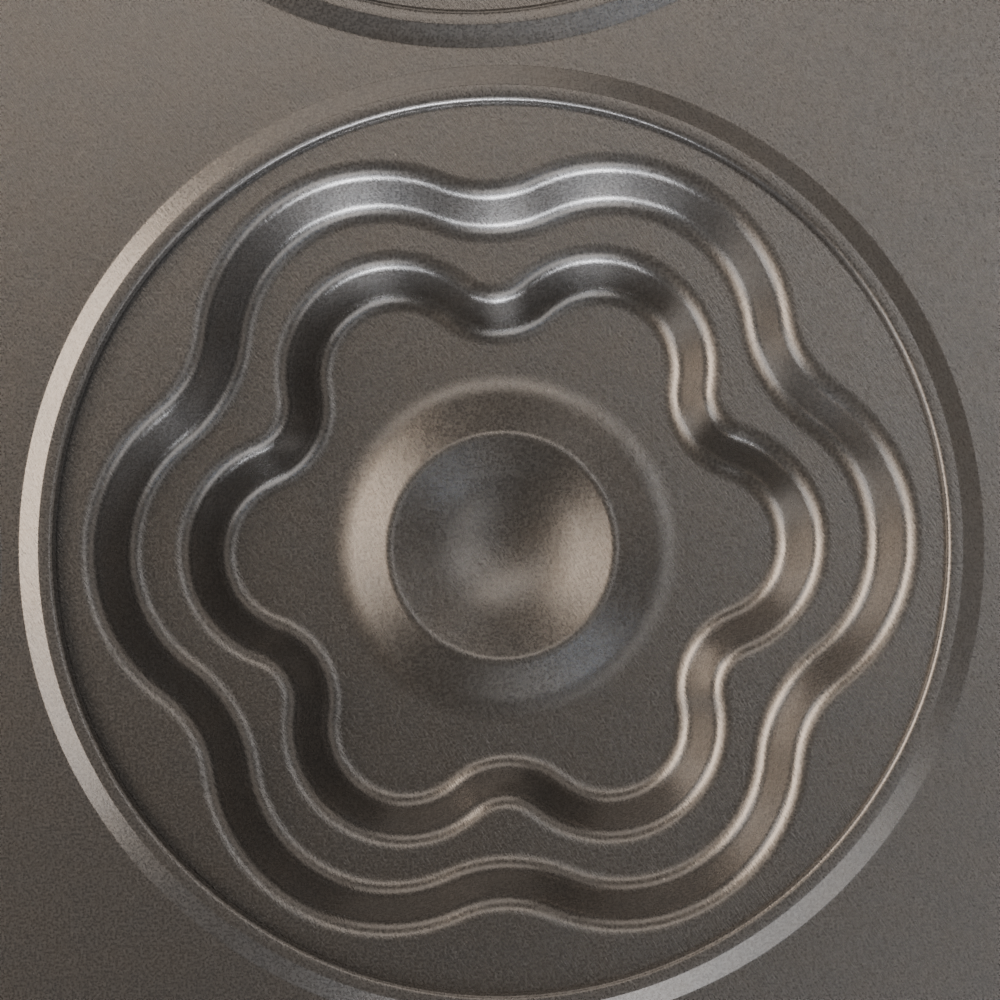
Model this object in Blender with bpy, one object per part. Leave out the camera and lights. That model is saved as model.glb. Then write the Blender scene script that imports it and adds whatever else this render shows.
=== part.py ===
"""Flower cookie pan with six moulds, in metres, +Z up.

A coated steel tray plate has six round collars, each raised a little and hemmed at its edge. A pressed flower
mould sits under each collar by its flat flange, and the plate's outer edge is curled round a steel wire.
Each mould steps down twice, along a large and a small six-petal outline, to a level floor. In its middle a low
round rim rises from the floor, and the bowl inside the rim dips a little below it.

The origin is under the middle of the pan, on the plane that the bowls' flat bottoms stand on. X runs along
the long side, and Y towards the back row.
"""

import math

import bmesh
import bpy

MM = 0.001

# Layout
COLUMNS = 3
ROWS = 2
PETALS = 6

# Sheets, wire and the clearance between two pieces that touch
PLATE_SHEET = 0.6 * MM
MOULD_SHEET = 0.6 * MM
WIRE_RADIUS = 1.5 * MM
SEAT_GAP = 0.3 * MM

# Small flower, along the middle of its wall: petal arcs joined by notch arcs that they touch
SMALL_PETAL_RADIUS = 9.7 * MM
SMALL_PETAL_CENTRE = 20.9 * MM  # from the mould's axis to the centre of a petal's arc
SMALL_NOTCH_RADIUS = 6.5 * MM

# Large flower: its petals are larger and stand further out by these steps
PETAL_RADIUS_STEP = 6.4 * MM
PETAL_CENTRE_STEP = 2.5 * MM
LARGE_NOTCH_RADIUS = 13.5 * MM

# Walls of both flowers
SMALL_FLOWER_DEPTH = 5.0 * MM
LARGE_FLOWER_DEPTH = 5.0 * MM
WALL_ANGLE = math.radians(58)  # from level
WALL_FILLET = 2.4 * MM
FILLET_SHARE = 0.45  # most of a wall's depth that one of its two fillets may take

# Round rim and bowl in the middle of the floor
BOWL_RIM_RADIUS = 11.7 * MM
BOWL_RIM_HEIGHT = 1.5 * MM
BOWL_DIP = 0.9 * MM  # how far the bowl's bottom lies below the floor
BOWL_FLAT_RADIUS = 3.0 * MM  # the flat bottom that the pan stands on
MID_BOWL = 0.66  # share of the rim's radius where the bowl's round bottom goes over into its slope
MID_BOWL_RISE = 0.5  # and the share of the bowl's depth that it has risen there
RIM_SLOPE = 3.1 * MM  # run of the steeper part outside the rim
RIM_SLOPE_DROP = 1.05 * MM
RIM_FLARE = 2.8 * MM  # run of the gentle part below it, down to the floor

# Collar round each mould
TIP_MARGIN = 2.2 * MM  # level ring between a petal's tip and the collar
COLLAR_CREST = 1.6 * MM
COLLAR_SLOPE = 2.2 * MM
COLLAR_RISE = 1.0 * MM
FLARE_RUN = 0.4  # the foot of the collar's slope flares: it takes this share of the slope's run
FLARE_RISE = 0.25  # and this share of its rise
FLANGE_PAST_HEM = 0.6 * MM  # how far a mould's flange reaches past the end of its collar's hem

# Plate beyond the collars
WEB = 1.8 * MM  # level strip between two neighbouring collars
END_MARGIN = 22.0 * MM
SIDE_MARGIN = 14.0 * MM
CORNER_RADIUS = 24.0 * MM
CURL_OPENING = math.radians(75)  # angle that the curl leaves open beside the plate

# Facets
PETAL_SEGMENTS = 5
NOTCH_SEGMENTS = 2
COLLAR_SEGMENTS = 28
CENTRE_SEGMENTS = 14
CORNER_SEGMENTS = 5
CURL_SEGMENTS = 7
HEM_SEGMENTS = 3
WIRE_SIDES = 8
SHARP_ABOVE = math.radians(40)

# Heights of the levels, worked out from the sizes above
FLOOR_TOP = MOULD_SHEET + BOWL_DIP
TERRACE_TOP = FLOOR_TOP + SMALL_FLOWER_DEPTH
FLANGE_TOP = TERRACE_TOP + LARGE_FLOWER_DEPTH
CREST_TOP = FLANGE_TOP + SEAT_GAP + 2 * PLATE_SHEET
PLATE_TOP = CREST_TOP - COLLAR_RISE


def make_material(name, colour, roughness, metallic):
    material = bpy.data.materials.new(name)
    material.use_nodes = True
    shader = material.node_tree.nodes["Principled BSDF"]
    shader.inputs["Base Color"].default_value = (*colour, 1.0)
    shader.inputs["Roughness"].default_value = roughness
    shader.inputs["Metallic"].default_value = metallic
    return material


def finish_object(name, bm, material, location=(0.0, 0.0, 0.0)):
    """Turn a bmesh into a smooth-shaded object with its faces pointing out."""
    bmesh.ops.recalc_face_normals(bm, faces=bm.faces)
    mesh = bpy.data.meshes.new(name)
    bm.to_mesh(mesh)
    bm.free()
    mesh.shade_smooth()
    mesh.set_sharp_from_angle(angle=SHARP_ABOVE)
    mesh.materials.append(material)
    return place_object(name, mesh, location)


def place_object(name, mesh, location):
    piece = bpy.data.objects.new(name, mesh)
    bpy.context.scene.collection.objects.link(piece)
    piece.location = location
    return piece


# Outlines


def circle_outline(radius, count):
    angles = [2 * math.pi * i / count for i in range(count)]
    return [(radius * math.cos(a), radius * math.sin(a)) for a in angles]


class Flower:
    """A six-petal outline of arcs that touch each other, and every outline parallel to it."""

    def __init__(self, petal_radius, petal_centre, notch_radius):
        self.petal_radius = petal_radius
        self.petal_centre = petal_centre
        self.notch_radius = notch_radius
        half_pitch = math.pi / PETALS
        across = petal_centre * math.sin(half_pitch)
        reach = math.sqrt((petal_radius + notch_radius) ** 2 - across**2)
        self.notch_centre = petal_centre * math.cos(half_pitch) + reach
        # Half of the angle that a petal's arc covers, seen from the arc's own centre
        self.petal_half_angle = math.atan2(
            self.notch_centre * math.sin(half_pitch),
            self.notch_centre * math.cos(half_pitch) - petal_centre,
        )

    def tip_reach(self):
        return self.petal_centre + self.petal_radius

    def outline(self, offset):
        """Points of the outline moved outwards by offset, anticlockwise."""
        points = []
        pitch = 2 * math.pi / PETALS
        for petal in range(PETALS):
            points += self.petal_arc(petal * pitch, self.petal_radius + offset)
            points += self.notch_arc(petal * pitch, self.notch_radius - offset)
        return points

    def petal_arc(self, turn, radius):
        centre = (self.petal_centre * math.cos(turn), self.petal_centre * math.sin(turn))
        half = self.petal_half_angle
        angles = [turn - half + 2 * half * i / PETAL_SEGMENTS for i in range(PETAL_SEGMENTS + 1)]
        return [arc_point(centre, radius, a) for a in angles]

    def notch_arc(self, turn, radius):
        """The points between the two petal arcs that the notch touches, without its ends."""
        middle = turn + math.pi / PETALS
        centre = (self.notch_centre * math.cos(middle), self.notch_centre * math.sin(middle))
        half = self.petal_half_angle - math.pi / PETALS
        steps = range(1, NOTCH_SEGMENTS)
        angles = [middle + math.pi + half - 2 * half * i / NOTCH_SEGMENTS for i in steps]
        return [arc_point(centre, radius, a) for a in angles]


def arc_point(centre, radius, angle):
    return (centre[0] + radius * math.cos(angle), centre[1] + radius * math.sin(angle))


def rounded_rectangle(half_x, half_y, corner_radius, offset):
    """A rounded rectangle moved outwards by offset, anticlockwise from the +X side."""
    radius = corner_radius + offset
    corners = ((1, 1), (-1, 1), (-1, -1), (1, -1))
    points = []
    for quarter, (side_x, side_y) in enumerate(corners):
        centre = (side_x * (half_x - corner_radius), side_y * (half_y - corner_radius))
        for i in range(CORNER_SEGMENTS + 1):
            angle = (quarter + i / CORNER_SEGMENTS) * math.pi / 2
            points.append(arc_point(centre, radius, angle))
    return points


# Surfaces between outlines


def add_ring(bm, outline, z, centre=(0.0, 0.0)):
    return [bm.verts.new((centre[0] + x, centre[1] + y, z)) for x, y in outline]


def loft(bm, rings, closed=False):
    """Skin neighbouring rings of the same number of points, and the last to the first if closed."""
    pairs = list(zip(rings, rings[1:]))
    if closed:
        pairs.append((rings[-1], rings[0]))
    for lower, upper in pairs:
        for i in range(len(lower)):
            j = (i + 1) % len(lower)
            bm.faces.new((lower[i], lower[j], upper[j], upper[i]))


def ring_edges(bm, ring):
    """The edges round a ring, with those that are missing added."""
    edges = []
    for start, end in zip(ring, ring[1:] + ring[:1]):
        edges.append(bm.edges.get((start, end)) or bm.edges.new((start, end)))
    return edges


def fill_level(bm, outer, holes):
    """Fill the level area inside one ring and outside the others."""
    edges = ring_edges(bm, outer)
    for hole in holes:
        edges += ring_edges(bm, hole)
    bmesh.ops.triangle_fill(bm, use_beauty=True, use_dissolve=False, edges=edges, normal=(0.0, 0.0, 1.0))


def underside(profile, sheet):
    """The profile moved down square to itself by the sheet's thickness. Its two ends lie level."""
    down = []
    for (x0, z0), (x1, z1) in zip(profile, profile[1:]):
        length = math.hypot(x1 - x0, z1 - z0)
        down.append(((z1 - z0) / length, (x0 - x1) / length))
    level = (0.0, -1.0)
    before = [level] + down
    after = down + [level]
    moved = []
    for (x, z), a, b in zip(profile, before, after):
        mitre = sheet / (1 + a[0] * b[0] + a[1] * b[1])
        moved.append((x + (a[0] + b[0]) * mitre, z + (a[1] + b[1]) * mitre))
    return moved


# Profiles


def wall_run(depth):
    """The fillet's run and rise, and the straight stretch's run, of a wall of this depth."""
    fillet = min(WALL_FILLET, FILLET_SHARE * depth / (1 - math.cos(WALL_ANGLE)))
    fillet_run = fillet * math.sin(WALL_ANGLE)
    fillet_rise = fillet * (1 - math.cos(WALL_ANGLE))
    straight_run = (depth - 2 * fillet_rise) / math.tan(WALL_ANGLE)
    return fillet_run, fillet_rise, straight_run


def wall_half_width(depth):
    fillet_run, _, straight_run = wall_run(depth)
    return fillet_run + straight_run / 2


def wall_profile(foot_z, depth):
    """A pressed wall as (offset from its outline, height), from its foot to its shoulder."""
    _, fillet_rise, straight_run = wall_run(depth)
    half_width = wall_half_width(depth)
    return [
        (-half_width, foot_z),
        (-straight_run / 2, foot_z + fillet_rise),
        (straight_run / 2, foot_z + depth - fillet_rise),
        (half_width, foot_z + depth),
    ]


def centre_profile():
    """Bowl, round rim and its outer slope as (radius, height), from the bowl's flat bottom outwards."""
    bowl_bottom = FLOOR_TOP - BOWL_DIP
    rim_top = FLOOR_TOP + BOWL_RIM_HEIGHT
    flare_start = BOWL_RIM_RADIUS + RIM_SLOPE
    return [
        (BOWL_FLAT_RADIUS, bowl_bottom),
        (MID_BOWL * BOWL_RIM_RADIUS, bowl_bottom + MID_BOWL_RISE * (rim_top - bowl_bottom)),
        (BOWL_RIM_RADIUS, rim_top),
        (flare_start, rim_top - RIM_SLOPE_DROP),
        (flare_start + RIM_FLARE, FLOOR_TOP),
    ]


def collar_profile(hole_radius):
    """The collar as (radius, height): up its outer slope, round its hem and back below."""
    foot = hole_radius + COLLAR_CREST + COLLAR_SLOPE
    crest_start = hole_radius + COLLAR_CREST
    points = [
        (foot, PLATE_TOP),
        (foot - FLARE_RUN * COLLAR_SLOPE, PLATE_TOP + FLARE_RISE * COLLAR_RISE),
        (crest_start, CREST_TOP),
    ]
    hem_centre = (hole_radius + PLATE_SHEET, CREST_TOP - PLATE_SHEET)
    for i in range(HEM_SEGMENTS + 1):
        angle = math.pi / 2 + math.pi * i / HEM_SEGMENTS
        points.append(arc_point(hem_centre, PLATE_SHEET, angle))
    points += [
        (crest_start, CREST_TOP - 2 * PLATE_SHEET),
        (crest_start, CREST_TOP - PLATE_SHEET),
        (foot, PLATE_TOP - PLATE_SHEET),
    ]
    return points


def curl_profile():
    """The curled rim as (offset from the plate's edge, height): out along the outside, back along the inside."""
    inner = WIRE_RADIUS + SEAT_GAP
    outer = inner + PLATE_SHEET
    centre = (0.0, wire_height())
    turn = 2 * math.pi - CURL_OPENING
    angles = [math.pi / 2 - turn * i / CURL_SEGMENTS for i in range(CURL_SEGMENTS + 1)]
    outside = [arc_point(centre, outer, a) for a in angles]
    inside = [arc_point(centre, inner, a) for a in reversed(angles)]
    return outside + inside


def wire_height():
    return PLATE_TOP - PLATE_SHEET - SEAT_GAP - WIRE_RADIUS


# Pieces


def mould_skin(bm, small, large, sheet):
    """One side of a mould's sheet, lowered by sheet. Returns its outermost ring."""
    centre = underside(centre_profile(), sheet)
    small_wall = underside(wall_profile(FLOOR_TOP, SMALL_FLOWER_DEPTH), sheet)
    large_wall = underside(wall_profile(TERRACE_TOP, LARGE_FLOWER_DEPTH), sheet)

    centre_rings = [add_ring(bm, circle_outline(r, CENTRE_SEGMENTS), z) for r, z in centre]
    bm.faces.new(centre_rings[0])
    loft(bm, centre_rings)

    small_rings = [add_ring(bm, small.outline(offset), z) for offset, z in small_wall]
    fill_level(bm, small_rings[0], [centre_rings[-1]])
    loft(bm, small_rings)

    large_rings = [add_ring(bm, large.outline(offset), z) for offset, z in large_wall]
    loft(bm, [small_rings[-1], large_rings[0]])
    loft(bm, large_rings)

    edge = add_ring(bm, circle_outline(flange_radius(large), COLLAR_SEGMENTS), FLANGE_TOP - sheet)
    fill_level(bm, edge, [large_rings[-1]])
    return edge


def collar_hole_radius(large):
    return large.tip_reach() + wall_half_width(LARGE_FLOWER_DEPTH) + TIP_MARGIN


def flange_radius(large):
    return collar_hole_radius(large) + COLLAR_CREST + FLANGE_PAST_HEM


def mould_pitch(large):
    return 2 * collar_profile(collar_hole_radius(large))[0][0] + WEB


def mould_places(large):
    """Centres of the moulds, row by row from the front left."""
    pitch = mould_pitch(large)
    places = []
    for row in range(ROWS):
        for column in range(COLUMNS):
            x = (column - (COLUMNS - 1) / 2) * pitch
            y = (row - (ROWS - 1) / 2) * pitch
            places.append((x, y))
    return places


def plate_edge(large, offset):
    """Outline of the plate's edge, where the curl starts, moved outwards by offset."""
    pitch = mould_pitch(large)
    collar_foot = collar_profile(collar_hole_radius(large))[0][0]
    half_x = (COLUMNS - 1) / 2 * pitch + collar_foot + END_MARGIN
    half_y = (ROWS - 1) / 2 * pitch + collar_foot + SIDE_MARGIN
    return rounded_rectangle(half_x, half_y, CORNER_RADIUS, offset)


def build_moulds(small, large, material):
    bm = bmesh.new()
    top_edge = mould_skin(bm, small, large, 0.0)
    bottom_edge = mould_skin(bm, small, large, MOULD_SHEET)
    loft(bm, [top_edge, bottom_edge])
    places = mould_places(large)
    first = finish_object("flower_mould_1", bm, material, (*places[0], 0.0))
    for number, place in enumerate(places[1:], start=2):
        place_object(f"flower_mould_{number}", first.data.copy(), (*place, 0.0))


def build_tray_plate(large, material):
    bm = bmesh.new()
    curl_rings = [add_ring(bm, plate_edge(large, offset), z) for offset, z in curl_profile()]
    loft(bm, curl_rings)
    collar_tops = []
    collar_bottoms = []
    for place in mould_places(large):
        profile = collar_profile(collar_hole_radius(large))
        rings = [add_ring(bm, circle_outline(r, COLLAR_SEGMENTS), z, place) for r, z in profile]
        loft(bm, rings)
        collar_tops.append(rings[0])
        collar_bottoms.append(rings[-1])
    fill_level(bm, curl_rings[0], collar_tops)
    fill_level(bm, curl_rings[-1], collar_bottoms)
    return finish_object("tray_plate", bm, material)


def build_rim_wire(large, material):
    bm = bmesh.new()
    rings = []
    for i in range(WIRE_SIDES):
        offset, z = arc_point((0.0, wire_height()), WIRE_RADIUS, 2 * math.pi * i / WIRE_SIDES)
        rings.append(add_ring(bm, plate_edge(large, offset), z))
    loft(bm, rings, closed=True)
    return finish_object("rim_wire", bm, material)


def main():
    for startup_object in list(bpy.data.objects):
        bpy.data.objects.remove(startup_object, do_unlink=True)

    small = Flower(SMALL_PETAL_RADIUS, SMALL_PETAL_CENTRE, SMALL_NOTCH_RADIUS)
    large = Flower(
        SMALL_PETAL_RADIUS + PETAL_RADIUS_STEP,
        SMALL_PETAL_CENTRE + PETAL_CENTRE_STEP,
        LARGE_NOTCH_RADIUS,
    )
    plate_coating = make_material("plate coating", (0.095, 0.087, 0.080), 0.45, 0.6)
    mould_coating = make_material("mould coating", (0.088, 0.080, 0.074), 0.42, 0.6)
    bare_wire = make_material("tinned wire", (0.60, 0.60, 0.59), 0.35, 1.0)

    build_tray_plate(large, plate_coating)
    build_moulds(small, large, mould_coating)
    build_rim_wire(large, bare_wire)
    print("mould pitch", round(mould_pitch(large) / MM, 2), "mm")


main()
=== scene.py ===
# %% [markdown]
# # A flower cookie pan, pressed from sheet steel
#
# The real pan is three kinds of piece: one coated tray plate with six round, hemmed collars and a curled
# edge, six pressed flower moulds that hang under the collars, and a steel wire inside the curled edge.
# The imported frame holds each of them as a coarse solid. This lesson models the same pieces again at the
# same sizes, but finely enough that every fillet catches the light, and then gives them their coating.
#
# The frame comes first, because every place and level below is read from it.

# %% Load the frame
import math

import bpy
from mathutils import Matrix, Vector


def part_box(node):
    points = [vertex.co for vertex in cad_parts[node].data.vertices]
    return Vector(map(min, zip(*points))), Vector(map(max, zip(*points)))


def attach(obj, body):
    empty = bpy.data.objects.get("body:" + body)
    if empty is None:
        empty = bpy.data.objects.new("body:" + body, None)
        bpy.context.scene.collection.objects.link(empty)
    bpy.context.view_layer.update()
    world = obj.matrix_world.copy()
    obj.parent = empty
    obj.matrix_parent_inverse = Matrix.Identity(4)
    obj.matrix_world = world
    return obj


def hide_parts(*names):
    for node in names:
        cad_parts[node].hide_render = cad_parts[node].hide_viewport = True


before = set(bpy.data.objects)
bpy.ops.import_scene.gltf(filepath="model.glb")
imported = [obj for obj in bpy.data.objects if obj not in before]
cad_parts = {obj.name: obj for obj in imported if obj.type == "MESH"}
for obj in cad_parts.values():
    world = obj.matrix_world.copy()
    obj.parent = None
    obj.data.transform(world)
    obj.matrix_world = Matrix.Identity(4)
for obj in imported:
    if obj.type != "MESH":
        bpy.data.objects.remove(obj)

bpy.context.view_layer.update()
MM = 0.001

# %% [markdown]
# ## The camera
#
# The photograph looks almost straight down at the middle mould of the front row, from about 31 cm, with
# the lens a little right of the mould's axis and towards the front. A camera could be aimed with a Track
# To constraint, but three plain angles keep the small roll of the picture as a value of its own.

# %% Camera
FRONT_MIDDLE = "flower_mould_2"


def axis_of(node):
    """The upright axis of a round node, from the middle of its box."""
    low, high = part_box(node)
    return ((low.x + high.x) / 2, (low.y + high.y) / 2)


CAMERA_BESIDE_AXIS = (18.8 * MM, -10.6 * MM)
CAMERA_HEIGHT = 314.6 * MM
CAMERA_TILT = (2.76, 3.54, -1.34)  # degrees about X, Y and Z
LENS = 109.1  # millimetres
SENSOR = 36.0

front_middle = axis_of(FRONT_MIDDLE)
camera_data = bpy.data.cameras.new("copy_camera")
camera_data.lens = LENS
camera_data.sensor_width = SENSOR
camera = bpy.data.objects.new("copy_camera", camera_data)
bpy.context.scene.collection.objects.link(camera)
camera.location = (
    front_middle[0] + CAMERA_BESIDE_AXIS[0],
    front_middle[1] + CAMERA_BESIDE_AXIS[1],
    CAMERA_HEIGHT,
)
camera.rotation_euler = [math.radians(angle) for angle in CAMERA_TILT]
bpy.context.scene.camera = camera
print("camera", [round(value, 4) for value in camera.location], "lens", LENS)

# %% [markdown]
# ## Levels and outlines
#
# The heights come from the frame's boxes: the moulds' flanges are the top of their nodes, and the collars'
# crests are the top of the tray plate. Both flowers are drawn the way a die maker draws them, with a
# compass: a petal is an arc, and a smaller arc that touches both petals rounds off the notch between them.
# Arcs that touch have a useful gift. Every outline parallel to such a flower is again made of arcs about
# the same centres, so the pressed wall can be stepped inwards ring by ring without any kink.

# %% Sizes
SHEET = 0.6 * MM
STEP_DEPTH = 5.0 * MM  # of each of the two pressed walls
PETALS = 6
SMALL_PETAL = {"radius": 9.7 * MM, "centre": 20.9 * MM, "notch": 6.5 * MM}
LARGE_PETAL = {"radius": 16.1 * MM, "centre": 23.4 * MM, "notch": 13.5 * MM}

FLANGE_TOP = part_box(FRONT_MIDDLE)[1].z
TERRACE_TOP = FLANGE_TOP - STEP_DEPTH
FLOOR_TOP = TERRACE_TOP - STEP_DEPTH
CREST_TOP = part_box("tray_plate")[1].z
FLANGE_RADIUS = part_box(FRONT_MIDDLE)[1].x - front_middle[0]
print("floor, terrace, flange, crest in mm", [
    round(level / MM, 2) for level in (FLOOR_TOP, TERRACE_TOP, FLANGE_TOP, CREST_TOP)
])

# %% Facets
PETAL_STEPS = 32
NOTCH_STEPS = 16
ROUND_STEPS = PETALS * (PETAL_STEPS + NOTCH_STEPS)
FILLET_STEPS = 7
SMOOTH_BELOW = math.radians(35)
WELD = 0.002 * MM  # points closer than this are one point

# %% [markdown]
# ## Drawing by hand, in code
#
# Each piece is made with the operators that a person would use in edit mode. An operator acts on all that
# is selected, so every piece starts with nothing selected. A line starts as a plane merged to one point.
# The Extrude operator then carries its end along a straight stretch, and the Spin operator carries it along
# an arc, like a compass.

# %% Helpers for edit mode
def select_nothing():
    """Leave edit mode with nothing selected."""
    if bpy.context.mode != "OBJECT":
        bpy.ops.object.mode_set(mode="OBJECT")
    bpy.ops.object.select_all(action="DESELECT")


def edit(piece, part="VERT"):
    """Open one piece in edit mode, with nothing selected in it."""
    select_nothing()
    bpy.context.view_layer.objects.active = piece
    piece.select_set(True)
    bpy.ops.object.mode_set(mode="EDIT")
    bpy.ops.mesh.select_mode(type=part)
    bpy.ops.mesh.select_all(action="DESELECT")


def start_line(name, place):
    """A piece with a single selected point, left in edit mode."""
    select_nothing()
    bpy.ops.mesh.primitive_plane_add(size=MM, location=place)
    piece = bpy.context.object
    piece.name = name
    bpy.ops.object.transform_apply(location=True)
    bpy.ops.object.mode_set(mode="EDIT")
    bpy.ops.mesh.select_mode(type="VERT")
    bpy.ops.mesh.merge(type="CENTER")
    return piece


def line_by(x, y, z):
    """Carry the line's selected end along a straight stretch."""
    bpy.ops.mesh.extrude_region_move(TRANSFORM_OT_translate={"value": (x, y, z)})


def arc_about(centre, turn, steps, axis=(0.0, 0.0, 1.0)):
    """Carry the line's selected end along an arc. A positive turn is anticlockwise seen against the axis."""
    bpy.ops.mesh.spin(steps=steps, angle=-turn, center=centre, axis=axis)


def weld():
    """Merge the points that lie on each other, with the whole mesh selected."""
    bpy.ops.mesh.select_all(action="SELECT")
    bpy.ops.mesh.remove_doubles(threshold=WELD)


def select_open_edges(piece, test):
    """Select the open edges whose two ends pass a test, in edge mode."""
    bpy.ops.mesh.select_mode(type="EDGE")
    bpy.ops.mesh.select_all(action="DESELECT")
    bpy.ops.mesh.select_non_manifold(
        extend=False, use_wire=True, use_boundary=True, use_multi_face=False,
        use_non_contiguous=False, use_verts=False,
    )
    bpy.ops.object.mode_set(mode="OBJECT")
    points = piece.data.vertices
    for edge in piece.data.edges:
        if edge.select:
            edge.select = all(test(points[end].co) for end in edge.vertices)
    bpy.ops.object.mode_set(mode="EDIT")


def turn_upwards(piece):
    """Point the faces of an open skin the way its flat areas look up."""
    bpy.ops.mesh.select_all(action="SELECT")
    bpy.ops.mesh.normals_make_consistent(inside=False)
    bpy.ops.object.mode_set(mode="OBJECT")
    upwards = sum(face.normal.z * face.area for face in piece.data.polygons)
    bpy.ops.object.mode_set(mode="EDIT")
    if upwards < 0:
        bpy.ops.mesh.select_all(action="SELECT")
        bpy.ops.mesh.flip_normals()


def count(piece):
    """Print what a piece measures."""
    triangles = sum(len(face.vertices) - 2 for face in piece.data.polygons)
    xs = [point.co.x for point in piece.data.vertices]
    zs = [point.co.z for point in piece.data.vertices]
    print(piece.name, triangles, "triangles,", round((max(xs) - min(xs)) / MM, 2), "mm long,",
          round((max(zs) - min(zs)) / MM, 2), "mm high")


# %% [markdown]
# ## The flower outlines
#
# A flower's arcs follow from three sizes: the petal's radius, how far its centre stands from the axis, and
# the notch's radius. Where two arcs touch, their centres and the touching point lie on one line. That gives
# the notch's centre and the angle that each arc covers.

# %% Compass work for a flower
def flower_arcs(flower):
    """The distance of the notch centres from the axis, and half the angle of a petal's arc."""
    half_pitch = math.pi / PETALS
    across = flower["centre"] * math.sin(half_pitch)
    reach = math.sqrt((flower["radius"] + flower["notch"]) ** 2 - across**2)
    notch_centre = flower["centre"] * math.cos(half_pitch) + reach
    half_petal = math.atan2(
        notch_centre * math.sin(half_pitch),
        notch_centre * math.cos(half_pitch) - flower["centre"],
    )
    return notch_centre, half_petal


def on_axis_circle(radius, angle, height):
    return (radius * math.cos(angle), radius * math.sin(angle), height)


def draw_flower(name, flower, offset, height):
    """The closed outline, moved outwards by offset, as a piece of its own round the Z axis."""
    notch_centre, half_petal = flower_arcs(flower)
    half_pitch = math.pi / PETALS
    radius = flower["radius"] + offset
    start = (
        flower["centre"] + radius * math.cos(half_petal),
        -radius * math.sin(half_petal),
        height,
    )
    outline = start_line(name, start)
    for petal in range(PETALS):
        turn = 2 * half_pitch * petal
        arc_about(on_axis_circle(flower["centre"], turn, height), 2 * half_petal, PETAL_STEPS)
        notch = on_axis_circle(notch_centre, turn + half_pitch, height)
        arc_about(notch, -2 * (half_petal - half_pitch), NOTCH_STEPS)
    weld()
    return outline


# %% [markdown]
# ## The pressed wall
#
# In section a wall leaves the upper level over a rounded shoulder, drops at 58 degrees, and runs out into
# the lower level over a rounded foot. A Bevel modifier could round both corners, but on a loop of nearly
# three hundred points it has little room at the notches. The Inset operator does it more safely: each step
# moves the flower's face inwards and down by the next short chord of the section.

# %% Section of a wall
WALL_ANGLE = math.radians(58)
WALL_FILLET = 2.4 * MM
GUARD = 0.15 * MM  # a level ring beyond each fillet, so that the level next to it shades flat


def wall_chords(depth):
    """The wall's section from the shoulder to the foot, as short steps (inwards, down)."""
    fillet = []
    for i in range(FILLET_STEPS):
        a = WALL_ANGLE * i / FILLET_STEPS
        b = WALL_ANGLE * (i + 1) / FILLET_STEPS
        run = WALL_FILLET * (math.sin(b) - math.sin(a))
        fall = WALL_FILLET * (math.cos(a) - math.cos(b))
        fillet.append((run, fall))
    straight = depth - 2 * sum(fall for _, fall in fillet)
    slope = [(straight / math.tan(WALL_ANGLE), straight)]
    guard = [(GUARD, 0.0)]
    return guard + fillet + slope + fillet[::-1] + guard


WALL_HALF_WIDTH = sum(run for run, _ in wall_chords(STEP_DEPTH)) / 2
print("a wall with its guard rings is", round(2 * WALL_HALF_WIDTH / MM, 2), "mm wide in plan")

# %% [markdown]
# ## The middle of the floor
#
# The floor rises to a round rim, and the dish inside the rim dips a little below the floor. Turned shapes
# like this are one line spun about the axis. The line is drawn with arcs and slopes that touch: the dish's
# round bottom, its slope, the rim's crown, the outer slope and the foot.

# %% Section of the rim and the dish
RIM_RADIUS = 11.7 * MM
RIM_HEIGHT = 1.5 * MM  # above the floor
DISH_DEPTH = 2.4 * MM  # below the rim's top
DISH_SLOPE = math.radians(18)
CROWN_RADIUS = 1.8 * MM
RIM_SLOPE = math.radians(17.5)
RIM_FOOT_RADIUS = 9.0 * MM
DISH_STEPS = 10
CROWN_STEPS = 8
FOOT_STEPS = 6


def arc_drop(radius, angle):
    """How far an arc falls while it turns from level to an angle."""
    return radius * (1 - math.cos(angle))


def dish_radius():
    """Radius of the dish's round bottom, whose slope then meets the crown at the wanted depth."""
    beyond_cone = RIM_RADIUS * math.tan(DISH_SLOPE) - DISH_DEPTH
    saved = math.tan(DISH_SLOPE) * math.sin(DISH_SLOPE) - (1 - math.cos(DISH_SLOPE))
    return beyond_cone / saved - CROWN_RADIUS


def draw_centre(name):
    """Spin the section of the dish, crown, slope and foot about the Z axis."""
    across = (0.0, -1.0, 0.0)
    rim_top = FLOOR_TOP + RIM_HEIGHT
    dish_bottom = rim_top - DISH_DEPTH
    sphere = dish_radius()
    section = start_line(name, (0.0, 0.0, dish_bottom))
    arc_about((0.0, 0.0, dish_bottom + sphere), DISH_SLOPE, DISH_STEPS, across)
    cone_run = RIM_RADIUS - (sphere + CROWN_RADIUS) * math.sin(DISH_SLOPE)
    line_by(cone_run, 0.0, cone_run * math.tan(DISH_SLOPE))
    arc_about((RIM_RADIUS, 0.0, rim_top - CROWN_RADIUS), -(DISH_SLOPE + RIM_SLOPE), CROWN_STEPS, across)
    fall = RIM_HEIGHT - arc_drop(CROWN_RADIUS, RIM_SLOPE) - arc_drop(RIM_FOOT_RADIUS, RIM_SLOPE)
    line_by(fall / math.tan(RIM_SLOPE), 0.0, -fall)
    rounded = (CROWN_RADIUS + RIM_FOOT_RADIUS) * math.sin(RIM_SLOPE)
    foot_end = RIM_RADIUS + rounded + fall / math.tan(RIM_SLOPE)
    arc_about((foot_end, 0.0, FLOOR_TOP + RIM_FOOT_RADIUS), RIM_SLOPE, FOOT_STEPS, across)
    line_by(GUARD, 0.0, 0.0)
    bpy.ops.mesh.select_all(action="SELECT")
    bpy.ops.mesh.spin(steps=ROUND_STEPS, angle=2 * math.pi, center=(0.0, 0.0, 0.0), axis=(0.0, 0.0, 1.0))
    weld()
    return section


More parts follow.
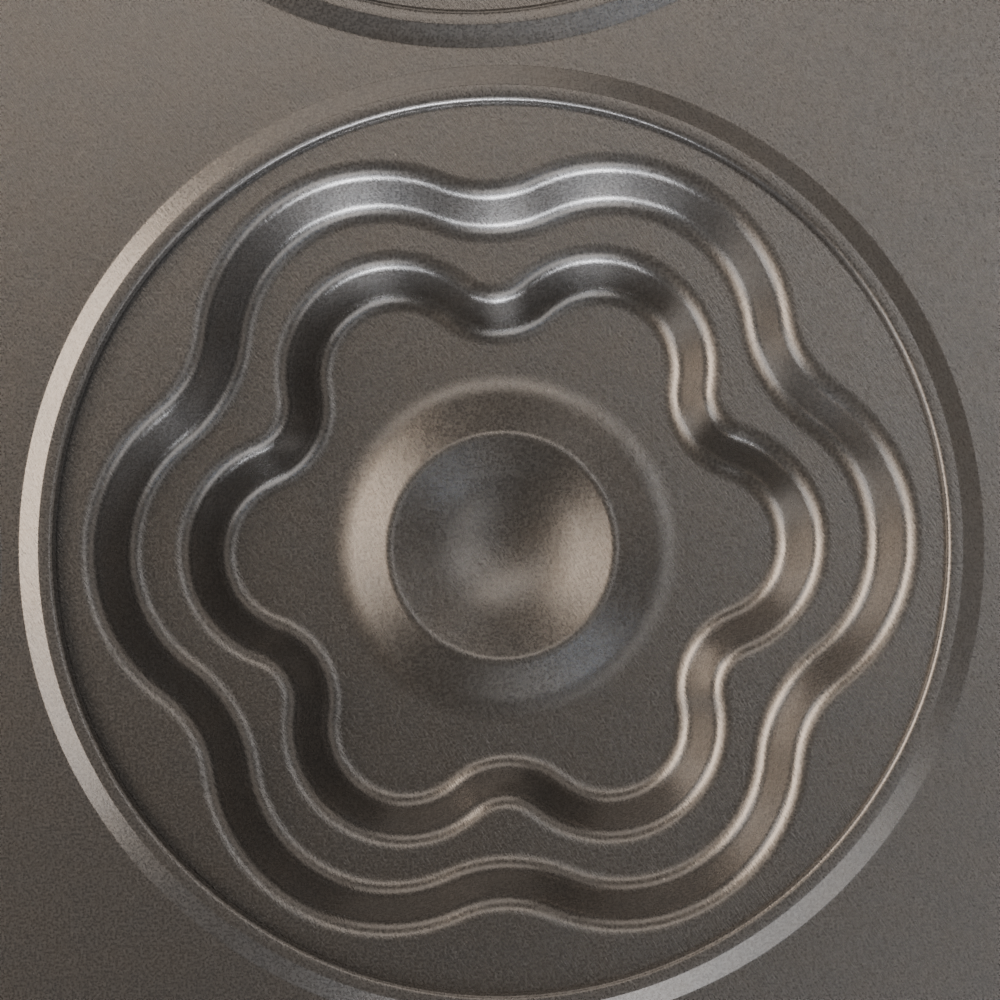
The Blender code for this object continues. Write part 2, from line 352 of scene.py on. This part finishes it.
# %% [markdown]
# ## One mould, from the flange down
#
# The mould's upper skin is made from the outside inwards: the flange, the large flower's wall, the terrace,
# the small flower's wall, the floor and the spun middle. A level between two outlines could be bridged, but
# the petals and notches of two unlike flowers don't face each other, and some of the bridge's quads would
# fold over. The Fill operator lays triangles between the loops instead, which is just as flat. A narrow
# guard ring on each side keeps the fillets' slanting normals away from those long triangles.

# %% Mould skin
def join_into(piece, other):
    """Join another piece's mesh into this one, and open it in edit mode."""
    select_nothing()
    other.select_set(True)
    piece.select_set(True)
    bpy.context.view_layer.objects.active = piece
    bpy.ops.object.join()
    edit(piece)


def fill_level(piece, height):
    """Fill between the open loops that lie on one level."""
    select_open_edges(piece, lambda point: abs(point.z - height) < WELD)
    bpy.ops.mesh.fill(use_beauty=True)


def press_flower(piece, height, outer_radius):
    """Fill the open flower on this level and inset it down its wall. Its face is then taken out."""
    def on_flower(point):
        return abs(point.z - height) < WELD and math.hypot(point.x, point.y) < outer_radius
    select_open_edges(piece, on_flower)
    bpy.ops.mesh.edge_face_add()
    turn_upwards(piece)
    bpy.ops.mesh.select_mode(type="FACE")
    bpy.ops.object.mode_set(mode="OBJECT")
    largest = max(piece.data.polygons, key=lambda face: len(face.vertices))
    for face in piece.data.polygons:
        face.select = face.index == largest.index
    bpy.ops.object.mode_set(mode="EDIT")
    for inwards, down in wall_chords(STEP_DEPTH):
        bpy.ops.mesh.inset(thickness=inwards, depth=-down, use_even_offset=True)
    bpy.ops.mesh.delete(type="ONLY_FACE")


def make_mould_skin():
    """The upper skin of a mould round the Z axis."""
    select_nothing()
    bpy.ops.mesh.primitive_circle_add(
        vertices=ROUND_STEPS, radius=FLANGE_RADIUS, fill_type="NOTHING", location=(0.0, 0.0, FLANGE_TOP)
    )
    skin = bpy.context.object
    skin.name = "pressed_mould"
    bpy.ops.object.transform_apply(location=True)
    join_into(skin, draw_flower("large_outline", LARGE_PETAL, WALL_HALF_WIDTH, FLANGE_TOP))
    fill_level(skin, FLANGE_TOP)
    press_flower(skin, FLANGE_TOP, FLANGE_RADIUS - MM)
    join_into(skin, draw_flower("small_outline", SMALL_PETAL, WALL_HALF_WIDTH, TERRACE_TOP))
    fill_level(skin, TERRACE_TOP)
    press_flower(skin, TERRACE_TOP, FLANGE_RADIUS)
    join_into(skin, draw_centre("centre_section"))
    fill_level(skin, FLOOR_TOP)
    weld()
    turn_upwards(skin)
    bpy.ops.object.mode_set(mode="OBJECT")
    return skin


mould_skin = make_mould_skin()
count(mould_skin)

# %% [markdown]
# ## From a skin to a sheet
#
# The skin has no thickness yet. Solidify lays the underside below it, square to the surface, and closes the
# flange's cut edge. It is applied, so that the finished mould is a plain mesh that stands for its node.

# %% Sheet thickness and the six moulds
def make_sheet(skin):
    """Give an open skin the sheet's thickness on its lower side, and smooth all but its cut edges."""
    select_nothing()
    skin.select_set(True)
    bpy.context.view_layer.objects.active = skin
    thickness = skin.modifiers.new("sheet", "SOLIDIFY")
    thickness.thickness = SHEET
    thickness.offset = -1.0
    thickness.use_even_offset = True
    bpy.ops.object.modifier_apply(modifier=thickness.name)
    bpy.ops.object.shade_smooth_by_angle(angle=SMOOTH_BELOW)


def copy_to(piece, name, place):
    """A copy with a mesh of its own, moved to a mould's axis, with its place in its mesh."""
    select_nothing()
    piece.select_set(True)
    bpy.context.view_layer.objects.active = piece
    bpy.ops.object.duplicate(linked=False)
    twin = bpy.context.object
    twin.name = name
    twin.data.name = name
    bpy.ops.transform.translate(value=(place[0], place[1], 0.0))
    bpy.ops.object.transform_apply(location=True)
    return twin


MOULD_NODES = sorted(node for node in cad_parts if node.startswith("flower_mould_"))
make_sheet(mould_skin)
moulds = []
for node in MOULD_NODES:
    mould = copy_to(mould_skin, node.replace("flower_mould", "pressed_mould"), axis_of(node))
    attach(mould, "root")
    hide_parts(node)
    moulds.append(mould)
count(moulds[0])
bpy.data.objects.remove(mould_skin)

# %% [markdown]
# ## The hemmed collars
#
# Round each mould the tray plate rises over a conical slope to a level crest, and its edge is folded under
# itself, so that no cut edge meets a hand or the dough. The section is drawn as one line, from the plate
# over the slope and the crest and round the fold, and spun about the mould's axis.

# %% Section of a collar
COLLAR_RISE = 1.0 * MM
COLLAR_CREST = 1.6 * MM  # from the fold's inner side to the slope
FLANGE_PAST_HEM = 0.6 * MM
COLLAR_ANGLE = math.radians(25.2)
COLLAR_FOOT_FILLET = 0.3 * MM
COLLAR_SHOULDER_FILLET = 0.3 * MM
FOLD_RADIUS = 0.65 * MM  # a little over one sheet, so that the hem's two layers don't touch
SLOPE_STEPS = 4
FOLD_STEPS = 10
COLLAR_STEPS = 240

PLATE_TOP = CREST_TOP - COLLAR_RISE
HOLE_RADIUS = FLANGE_RADIUS - COLLAR_CREST - FLANGE_PAST_HEM
CREST_START = HOLE_RADIUS + COLLAR_CREST
both_fillets = COLLAR_FOOT_FILLET + COLLAR_SHOULDER_FILLET
SLOPE_RISE = COLLAR_RISE - both_fillets * (1 - math.cos(COLLAR_ANGLE))
SLOPE_RUN = SLOPE_RISE / math.tan(COLLAR_ANGLE)
COLLAR_FOOT = CREST_START + SLOPE_RUN + both_fillets * math.sin(COLLAR_ANGLE)
print("collar: hole", round(HOLE_RADIUS / MM, 2), "foot", round(COLLAR_FOOT / MM, 2), "mm from the axis")


def draw_collar(name):
    """Spin the collar's section about the Z axis."""
    across = (0.0, -1.0, 0.0)
    collar = start_line(name, (COLLAR_FOOT + GUARD, 0.0, PLATE_TOP))
    line_by(-GUARD, 0.0, 0.0)
    arc_about((COLLAR_FOOT, 0.0, PLATE_TOP + COLLAR_FOOT_FILLET), -COLLAR_ANGLE, SLOPE_STEPS, across)
    line_by(-SLOPE_RUN, 0.0, SLOPE_RISE)
    arc_about((CREST_START, 0.0, CREST_TOP - COLLAR_SHOULDER_FILLET), COLLAR_ANGLE, SLOPE_STEPS, across)
    line_by(HOLE_RADIUS + FOLD_RADIUS - CREST_START, 0.0, 0.0)
    arc_about((HOLE_RADIUS + FOLD_RADIUS, 0.0, CREST_TOP - FOLD_RADIUS), math.pi, FOLD_STEPS, across)
    line_by(CREST_START - HOLE_RADIUS - FOLD_RADIUS, 0.0, 0.0)
    bpy.ops.mesh.select_all(action="SELECT")
    bpy.ops.mesh.spin(steps=COLLAR_STEPS, angle=2 * math.pi, center=(0.0, 0.0, 0.0), axis=(0.0, 0.0, 1.0))
    weld()
    bpy.ops.object.mode_set(mode="OBJECT")
    return collar


# %% [markdown]
# ## The curled edge
#
# The plate's outer edge is rolled over a wire. A curve with a bevel object could sweep the roll's section
# round the pan. Here it is done like on the rolling machine: the section is drawn at one corner, spun
# round the corner, extruded along the side, spun round the next corner, and so on until it meets itself.

# %% Section and path of the curl
CURL_OPENING = math.radians(75)  # left open beside the plate
CORNER_RADIUS = 24.0 * MM
CURL_STEPS = 26
CORNER_STEPS = 24

wire_low, wire_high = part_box("rim_wire")
WIRE_RADIUS = (wire_high.z - wire_low.z) / 2
WIRE_HEIGHT = (wire_high.z + wire_low.z) / 2
EDGE_X = wire_high.x - WIRE_RADIUS
EDGE_Y = wire_high.y - WIRE_RADIUS
CURL_RADIUS = min(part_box("tray_plate")[1].x - EDGE_X, PLATE_TOP - WIRE_HEIGHT)
print("the curl's outside is", round(2 * CURL_RADIUS / MM, 2), "mm across, round a",
      round(2 * WIRE_RADIUS / MM, 2), "mm wire")


def sweep_round_edge():
    """Carry the selected section round the pan's edge, from the start of the first corner back to it."""
    side_x = EDGE_X - CORNER_RADIUS
    side_y = EDGE_Y - CORNER_RADIUS
    corners = ((side_x, side_y), (-side_x, side_y), (-side_x, -side_y), (side_x, -side_y))
    sides = ((-2 * side_x, 0.0), (0.0, -2 * side_y), (2 * side_x, 0.0), (0.0, 2 * side_y))
    for corner, side in zip(corners, sides):
        arc_about((*corner, 0.0), math.pi / 2, CORNER_STEPS)
        line_by(side[0], side[1], 0.0)


def draw_curl(name):
    """The curl's outer skin, from the plate's level round to its open end."""
    section_y = EDGE_Y - CORNER_RADIUS
    curl = start_line(name, (EDGE_X - GUARD, section_y, PLATE_TOP))
    line_by(GUARD, 0.0, 0.0)
    turn = 2 * math.pi - CURL_OPENING
    arc_about((EDGE_X, section_y, PLATE_TOP - CURL_RADIUS), -turn, CURL_STEPS, (0.0, -1.0, 0.0))
    bpy.ops.mesh.select_all(action="SELECT")
    sweep_round_edge()
    weld()
    bpy.ops.object.mode_set(mode="OBJECT")
    return curl


# %% [markdown]
# ## The tray plate
#
# The curl and six copies of the collar are joined, and the level plate is filled in between them. Then the
# whole skin gets its sheet thickness, so the collars are hollow below and the curl is open inside.

# %% Tray plate
def make_tray():
    tray = draw_curl("collared_tray")
    collar = draw_collar("collar")
    rings = [copy_to(collar, "collar_copy", axis_of(node)) for node in MOULD_NODES]
    bpy.data.objects.remove(collar)
    for ring in rings:
        join_into(tray, ring)
    fill_level(tray, PLATE_TOP)
    weld()
    turn_upwards(tray)
    bpy.ops.object.mode_set(mode="OBJECT")
    make_sheet(tray)
    return tray


tray = make_tray()
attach(tray, "root")
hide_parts("tray_plate")
count(tray)

# %% [markdown]
# ## The rim wire
#
# The wire is one round bar, bent to the pan's outline and butted end to end. A circle stood upright at the
# first corner is swept along the same path as the curl.

# %% Rim wire
WIRE_SIDES = 20


def make_wire():
    select_nothing()
    bpy.ops.mesh.primitive_circle_add(
        vertices=WIRE_SIDES, radius=WIRE_RADIUS, fill_type="NOTHING",
        location=(EDGE_X, EDGE_Y - CORNER_RADIUS, WIRE_HEIGHT), rotation=(math.pi / 2, 0.0, 0.0),
    )
    wire = bpy.context.object
    wire.name = "drawn_wire"
    bpy.ops.object.transform_apply(location=True, rotation=True)
    bpy.ops.object.mode_set(mode="EDIT")
    bpy.ops.mesh.select_mode(type="VERT")
    bpy.ops.mesh.select_all(action="SELECT")
    sweep_round_edge()
    weld()
    bpy.ops.mesh.normals_make_consistent(inside=False)
    bpy.ops.object.mode_set(mode="OBJECT")
    bpy.ops.object.shade_smooth_by_angle(angle=SMOOTH_BELOW)
    return wire


wire = make_wire()
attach(wire, "root")
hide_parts("rim_wire")
count(wire)

# %% [markdown]
# ## Shared shader effects
#
# The blank was brushed one way before it was pressed, and the coating that is sprayed on doesn't quite
# hide those lines: close up they fray the edges of every highlight. The spray itself leaves a field of soft
# grains, a few tenths of a millimetre across, and slow clouds where it lies a little thicker. Now and then
# a speck of dust lies on it. Each effect is used by more than one material, so each is a node group with
# named sockets. The group gives only values, and the shader itself stays in the material.

# %% Helpers for shader nodes
def new_group(name, inputs, outputs):
    """A shader node group with float sockets, and a vector socket for the place on the piece."""
    group = bpy.data.node_groups.new(name, "ShaderNodeTree")
    group.interface.new_socket("Vector", in_out="INPUT", socket_type="NodeSocketVector")
    for socket, value in inputs.items():
        made = group.interface.new_socket(socket, in_out="INPUT", socket_type="NodeSocketFloat")
        made.default_value = value
    for socket in outputs:
        group.interface.new_socket(socket, in_out="OUTPUT", socket_type="NodeSocketFloat")
    entry = group.nodes.new("NodeGroupInput")
    leaving = group.nodes.new("NodeGroupOutput")
    return group, entry, leaving


def feed(tree, socket, value):
    """Link a socket to another node's output, or set it to a plain value."""
    if isinstance(value, bpy.types.NodeSocket):
        tree.links.new(value, socket)
    else:
        socket.default_value = value


def math_node(tree, operation, *values):
    """A Math node whose inputs are sockets or plain numbers. Its output is returned."""
    node = tree.nodes.new("ShaderNodeMath")
    node.operation = operation
    for socket, value in zip(node.inputs, values):
        feed(tree, socket, value)
    return node.outputs[0]


def noise_node(tree, place, scale, detail, roughness):
    """A noise texture on a place, with its scale as a socket or a number. Its value is returned."""
    node = tree.nodes.new("ShaderNodeTexNoise")
    node.inputs["Detail"].default_value = detail
    node.inputs["Roughness"].default_value = roughness
    tree.links.new(place, node.inputs["Vector"])
    feed(tree, node.inputs["Scale"], scale)
    return node.outputs["Fac"]


def spread(tree, value, low, high, to_low, to_high):
    """Map a value from one range to another, and keep it inside."""
    node = tree.nodes.new("ShaderNodeMapRange")
    ends = {"From Min": low, "From Max": high, "To Min": to_low, "To Max": to_high}
    for socket, end in ends.items():
        feed(tree, node.inputs[socket], end)
    tree.links.new(value, node.inputs["Value"])
    return node.outputs["Result"]


# %% Sprayed grain
FINE_GRAINS = 2.3  # times as many to the millimetre as the coarse ones
FINE_SHARE = 0.45  # of the fine grains' height beside that of the coarse ones
TINT_FROM = 0.5  # the height at which the tint leaves 0
TINT_FULL = 0.95  # and at which it reaches 1


def make_grain_group():
    """Soft grains of a named size: their height for a bump, and a tint that follows them."""
    group, entry, leaving = new_group("sprayed_grain", {"Grain Size": 0.3 * MM}, ("Height", "Tint"))
    scale = math_node(group, "DIVIDE", 1.0, entry.outputs["Grain Size"])
    fine_scale = math_node(group, "MULTIPLY", scale, FINE_GRAINS)
    coarse = noise_node(group, entry.outputs["Vector"], scale, 1.0, 0.4)
    fine = noise_node(group, entry.outputs["Vector"], fine_scale, 1.0, 0.5)
    height = math_node(group, "MULTIPLY_ADD", fine, FINE_SHARE, coarse)
    tint = spread(group, height, TINT_FROM, TINT_FULL, 0.0, 1.0)
    group.links.new(height, leaving.inputs["Height"])
    group.links.new(tint, leaving.inputs["Tint"])
    return group


# %% Brushed lines
def make_brush_group():
    """Fine broken lines that all run one way, seen from above, as a height for a bump."""
    group, entry, leaving = new_group(
        "brushed_lines", {"Course": 0.0, "Line Length": 1.0 * MM, "Line Width": 0.1 * MM}, ("Height",)
    )
    turned = group.nodes.new("ShaderNodeVectorRotate")
    turned.rotation_type = "Z_AXIS"
    group.links.new(entry.outputs["Vector"], turned.inputs["Vector"])
    group.links.new(math_node(group, "MULTIPLY", entry.outputs["Course"], -1.0), turned.inputs["Angle"])
    along = math_node(group, "DIVIDE", 1.0, entry.outputs["Line Length"])
    scales = group.nodes.new("ShaderNodeCombineXYZ")
    group.links.new(along, scales.inputs["X"])
    group.links.new(math_node(group, "DIVIDE", 1.0, entry.outputs["Line Width"]), scales.inputs["Y"])
    group.links.new(along, scales.inputs["Z"])
    stretched = group.nodes.new("ShaderNodeVectorMath")
    stretched.operation = "MULTIPLY"
    group.links.new(turned.outputs["Vector"], stretched.inputs[0])
    group.links.new(scales.outputs["Vector"], stretched.inputs[1])
    lines = noise_node(group, stretched.outputs["Vector"], 1.0, 1.0, 0.5)
    group.links.new(lines, leaving.inputs["Height"])
    return group


# %% Spray clouds
THINNEST = 0.3  # values of the noise taken as the thinnest
THICKEST = 0.7  # and the thickest coating


def make_cloud_group():
    """Slow variation of the coating's thickness, from 0 to 1."""
    group, entry, leaving = new_group("spray_clouds", {"Cloud Size": 12.0 * MM}, ("Clouds",))
    scale = math_node(group, "DIVIDE", 1.0, entry.outputs["Cloud Size"])
    clouds = noise_node(group, entry.outputs["Vector"], scale, 3.0, 0.6)
    group.links.new(spread(group, clouds, THINNEST, THICKEST, 0.0, 1.0), leaving.inputs["Clouds"])
    return group


# %% Dust specks
SPECK_CORE = 0.6  # share of a speck's radius that is fully pale


def make_dust_group():
    """A few pale specks: in most cells none, in the others one round speck of about the given size."""
    group, entry, leaving = new_group(
        "dust_specks", {"Spacing": 5.0 * MM, "Speck Size": 0.12 * MM, "Share": 0.25}, ("Specks",)
    )
    cells = group.nodes.new("ShaderNodeTexVoronoi")
    cells.feature = "F1"
    group.links.new(entry.outputs["Vector"], cells.inputs["Vector"])
    group.links.new(math_node(group, "DIVIDE", 1.0, entry.outputs["Spacing"]), cells.inputs["Scale"])
    distance = math_node(group, "MULTIPLY", cells.outputs["Distance"], entry.outputs["Spacing"])
    core = math_node(group, "MULTIPLY", entry.outputs["Speck Size"], SPECK_CORE)
    speck = spread(group, distance, core, entry.outputs["Speck Size"], 1.0, 0.0)
    parts = group.nodes.new("ShaderNodeSeparateColor")
    group.links.new(cells.outputs["Color"], parts.inputs["Color"])
    chosen = math_node(group, "LESS_THAN", parts.outputs[0], entry.outputs["Share"])
    group.links.new(math_node(group, "MULTIPLY", speck, chosen), leaving.inputs["Specks"])
    return group


BRUSH = make_brush_group()
GRAIN = make_grain_group()
CLOUDS = make_cloud_group()
DUST = make_dust_group()
print("shader groups:", BRUSH.name, GRAIN.name, CLOUDS.name, DUST.name)

# %% [markdown]
# ## The coating
#
# A dark non-stick coating with fine metal flake is neither plain paint nor bare metal. It reflects more
# than paint does, and in grey, so most of its look is a broad, soft gloss over a nearly black ground. A
# Principled shader with a part metallic value does that with one lobe. The brushed lines and the grain
# disturb the gloss through a bump, the roughness and a pale speckle follow the grain, and the clouds move
# the colour between a warmer and a cooler grey.

# %% Coating material
def place_group(material, group, place, values):
    """Put a node group into a material, set its values and feed it the place on the piece."""
    node = material.node_tree.nodes.new("ShaderNodeGroup")
    node.node_tree = group
    material.node_tree.links.new(place, node.inputs["Vector"])
    for socket, value in values.items():
        node.inputs[socket].default_value = value
    return node.outputs


def mix_colour(tree, share, first, second):
    """Mix two colours, each a socket or a plain colour, by a share."""
    node = tree.nodes.new("ShaderNodeMix")
    node.data_type = "RGBA"
    tree.links.new(share, node.inputs["Factor"])
    feed(tree, node.inputs["A"], first)
    feed(tree, node.inputs["B"], second)
    return node.outputs["Result"]


def new_material(name):
    """A material with a Principled shader, its tree and the place on the piece."""
    material = bpy.data.materials.new(name)
    material.use_nodes = True
    tree = material.node_tree
    shader = tree.nodes["Principled BSDF"]
    place = tree.nodes.new("ShaderNodeTexCoord").outputs["Object"]
    return material, tree, shader, place


def add_bump(tree, shader, height, distance, strength=1.0):
    """Let a height disturb the shader's normal."""
    bump = tree.nodes.new("ShaderNodeBump")
    bump.inputs["Strength"].default_value = strength
    bump.inputs["Distance"].default_value = distance
    tree.links.new(height, bump.inputs["Height"])
    tree.links.new(bump.outputs["Normal"], shader.inputs["Normal"])


BRUSHED = {"Course": math.radians(-56), "Line Length": 0.9 * MM, "Line Width": 0.13 * MM}
BRUSH_HEIGHT = 0.021 * MM
COATING_GRAIN = 0.25 * MM
COATING_CLOUD = 4.0 * MM
GRAIN_SHARE = 0.25  # of the grain's height beside that of the brushed lines
COATING_WARM = (0.235, 0.225, 0.215, 1.0)
COATING_COOL = (0.22, 0.22, 0.22, 1.0)
FLAKE = (0.42, 0.41, 0.40, 1.0)
FLAKE_FROM = 0.35  # the grain's tint where the flake begins to show
FLAKE_FULL = 0.75  # and where it shows most
FLAKE_SHARE = 0.4  # of the flake's colour there
DUST_COLOUR = (0.62, 0.60, 0.57, 1.0)
COATING_METALLIC = 0.85
ROUGHNESS_SPREAD = 0.03


def make_coating(name, roughness):
    """Coated steel, whose colour wanders between a warmer and a cooler grey."""
    material, tree, shader, place = new_material(name)
    brush = place_group(material, BRUSH, place, BRUSHED)
    grain = place_group(material, GRAIN, place, {"Grain Size": COATING_GRAIN})
    clouds = place_group(material, CLOUDS, place, {"Cloud Size": COATING_CLOUD})
    dust = place_group(material, DUST, place, {})
    clouded = mix_colour(tree, clouds["Clouds"], COATING_WARM, COATING_COOL)
    speckle = spread(tree, grain["Tint"], FLAKE_FROM, FLAKE_FULL, 0.0, FLAKE_SHARE)
    speckled = mix_colour(tree, speckle, clouded, FLAKE)
    dusty = mix_colour(tree, dust["Specks"], speckled, DUST_COLOUR)
    tree.links.new(dusty, shader.inputs["Base Color"])
    shader.inputs["Metallic"].default_value = COATING_METALLIC
    smoothest = roughness - ROUGHNESS_SPREAD
    roughest = roughness + ROUGHNESS_SPREAD
    grainy = spread(tree, grain["Tint"], 0.0, 1.0, smoothest, roughest)
    tree.links.new(grainy, shader.inputs["Roughness"])
    height = math_node(tree, "MULTIPLY_ADD", grain["Height"], GRAIN_SHARE, brush["Height"])
    add_bump(tree, shader, height, BRUSH_HEIGHT)
    return material


plate_coating = make_coating("plate_coating", 0.285)
mould_coating = make_coating("mould_coating", 0.275)
tray.data.materials.append(plate_coating)
for mould in moulds:
    mould.data.materials.append(mould_coating)
print("coated:", tray.name, "and", len(moulds), "moulds")

# %% [markdown]
# ## The wire's steel
#
# The wire is bare tinned steel, brighter than the coating and slightly cloudy. The curled edge hides nearly
# all of it, so the grain and cloud groups serve it with smaller sizes, and it needs no effect of its own.

# %% Wire material
TIN_DULL = (0.52, 0.52, 0.51, 1.0)
TIN_BRIGHT = (0.64, 0.64, 0.63, 1.0)
WIRE_CLOUD = 3.0 * MM
WIRE_SMOOTHEST = 0.28
WIRE_ROUGHEST = 0.42
WIRE_GRAIN = 0.15 * MM
WIRE_GRAIN_HEIGHT = 0.004 * MM
WIRE_GRAIN_STRENGTH = 0.4


def make_wire_steel():
    """Tinned steel, in slow patches of brighter and duller grey."""
    material, tree, shader, place = new_material("tinned_wire")
    shader.inputs["Metallic"].default_value = 1.0
    clouds = place_group(material, CLOUDS, place, {"Cloud Size": WIRE_CLOUD})
    tone = mix_colour(tree, clouds["Clouds"], TIN_DULL, TIN_BRIGHT)
    tree.links.new(tone, shader.inputs["Base Color"])
    cloudy = spread(tree, clouds["Clouds"], 0.0, 1.0, WIRE_SMOOTHEST, WIRE_ROUGHEST)
    tree.links.new(cloudy, shader.inputs["Roughness"])
    grain = place_group(material, GRAIN, place, {"Grain Size": WIRE_GRAIN})
    add_bump(tree, shader, grain["Height"], WIRE_GRAIN_HEIGHT, WIRE_GRAIN_STRENGTH)
    return material


wire.data.materials.append(make_wire_steel())
print("bare:", wire.name)

# %% [markdown]
# ## The studio
#
# The pan lies on a plain pale floor. A gloss shows the lamps themselves, so each softbox stands where some
# slope of the pan mirrors it into the lens. Warm ones on the left stand for the room's window: they light
# the collars' outer slopes on the left, and the fillets that face them on the right. Cooler ones stand low
# at the front, and two narrow ones there give the glints on the far walls. A long one over the back lights
# the level faces at the top of the picture, and weak ones over the right side keep those on the right
# lighter than those on the left. The rest of the room is a dim, warm glow.

# %% Floor
FLOOR_SIZE = 3.0  # metres
FLOOR_COLOUR = (0.72, 0.71, 0.69, 1.0)
FLOOR_ROUGHNESS = 0.8


def make_floor():
    """A plain floor under the pan, which isn't part of the object."""
    select_nothing()
    bpy.ops.mesh.primitive_plane_add(size=FLOOR_SIZE, location=(0.0, 0.0, 0.0))
    floor = bpy.context.object
    floor.name = "studio_floor"
    material, _, shader, _ = new_material("pale_floor")
    shader.inputs["Base Color"].default_value = FLOOR_COLOUR
    shader.inputs["Roughness"].default_value = FLOOR_ROUGHNESS
    floor.data.materials.append(material)
    return floor


floor = make_floor()
print(floor.name, "is", FLOOR_SIZE, "m wide")


# %% Lights
LIGHT_DISTANCE = 1.2  # metres


def softbox(name, azimuth, polar, size, power, colour):
    """An area light that faces the photographed mould from an azimuth and an angle off the vertical.

    Its size is given upwards and then sideways.
    """
    light = bpy.data.lights.new(name, "AREA")
    light.shape = "RECTANGLE"
    light.size, light.size_y = size
    light.energy = power
    light.color = colour
    lamp = bpy.data.objects.new(name, light)
    bpy.context.scene.collection.objects.link(lamp)
    turn = math.radians(azimuth)
    lean = math.radians(polar)
    lamp.location = (
        front_middle[0] + LIGHT_DISTANCE * math.sin(lean) * math.cos(turn),
        front_middle[1] + LIGHT_DISTANCE * math.sin(lean) * math.sin(turn),
        LIGHT_DISTANCE * math.cos(lean),
    )
    lamp.rotation_euler = (0.0, lean, turn)
    lamp.visible_camera = False


WARM = (1.0, 0.81, 0.65)
SOFT_WARM = (1.0, 0.88, 0.78)
NEUTRAL = (1.0, 0.96, 0.94)
COOL = (0.92, 0.94, 1.0)
BLUE = (0.70, 0.82, 1.0)

# The window's side, for the outer slopes on the left and the fillets on the right
softbox("left_window", 161.0, 56.0, (0.40, 0.85), 7.0, WARM)
softbox("left_window_end", 196.0, 56.0, (0.40, 0.40), 1.4, SOFT_WARM)
softbox("left_window_top", 168.0, 38.0, (0.40, 0.80), 1.6, WARM)
softbox("left_low_window", 200.0, 77.0, (0.40, 0.40), 1.2, NEUTRAL)
softbox("left_low_corner", 150.0, 76.0, (0.40, 0.40), 0.8, NEUTRAL)
# Low at the front, for the far walls
softbox("front_low_left", 250.0, 83.2, (0.08, 0.40), 2.2, COOL)
softbox("front_low_middle", 272.0, 83.0, (0.09, 0.34), 7.2, COOL)
softbox("front_low_right", 290.0, 83.2, (0.08, 0.40), 2.8, COOL)
softbox("front_glint_left", 268.0, 66.0, (0.16, 0.04), 0.30, COOL)
softbox("front_glint_right", 281.0, 66.0, (0.16, 0.04), 0.45, COOL)
# Higher at the front, for the fillets of the far walls and for the bowl
softbox("front_window", 272.0, 50.0, (0.35, 0.50), 1.2, NEUTRAL)
softbox("front_right_window", 306.0, 50.0, (0.36, 0.70), 1.2, NEUTRAL)
softbox("small_pane", 306.0, 33.0, (0.12, 0.12), 0.16, BLUE)
# The room's walls, for the slopes that face away from the window
softbox("back_wall_glow", 105.0, 60.0, (0.45, 0.95), 1.2, SOFT_WARM)
softbox("back_right_glow", 62.0, 50.0, (0.45, 0.45), 0.30, SOFT_WARM)
softbox("right_wall_glow", 20.0, 46.0, (0.45, 0.95), 0.55, SOFT_WARM)
softbox("right_front_glow", 335.0, 50.0, (0.40, 0.60), 0.18, SOFT_WARM)
# Over the pan, for its level faces
softbox("ceiling_back", 101.0, 19.5, (0.18, 0.58), 0.70, SOFT_WARM)
softbox("ceiling_right", 30.0, 14.5, (0.20, 0.34), 0.41, NEUTRAL)
softbox("ceiling_front_right", 310.0, 16.0, (0.16, 0.32), 0.21, NEUTRAL)

# %% The room's own glow
ROOM_COLOUR = (1.0, 0.89, 0.77, 1.0)
ROOM_STRENGTH = 0.04

world = bpy.data.worlds.new("studio_air")
bpy.context.scene.world = world
world.use_nodes = True
glow = world.node_tree.nodes["Background"]
glow.inputs["Color"].default_value = ROOM_COLOUR
glow.inputs["Strength"].default_value = ROOM_STRENGTH
print("room glow", ROOM_STRENGTH)

# %% Update the scene
bpy.context.view_layer.update()
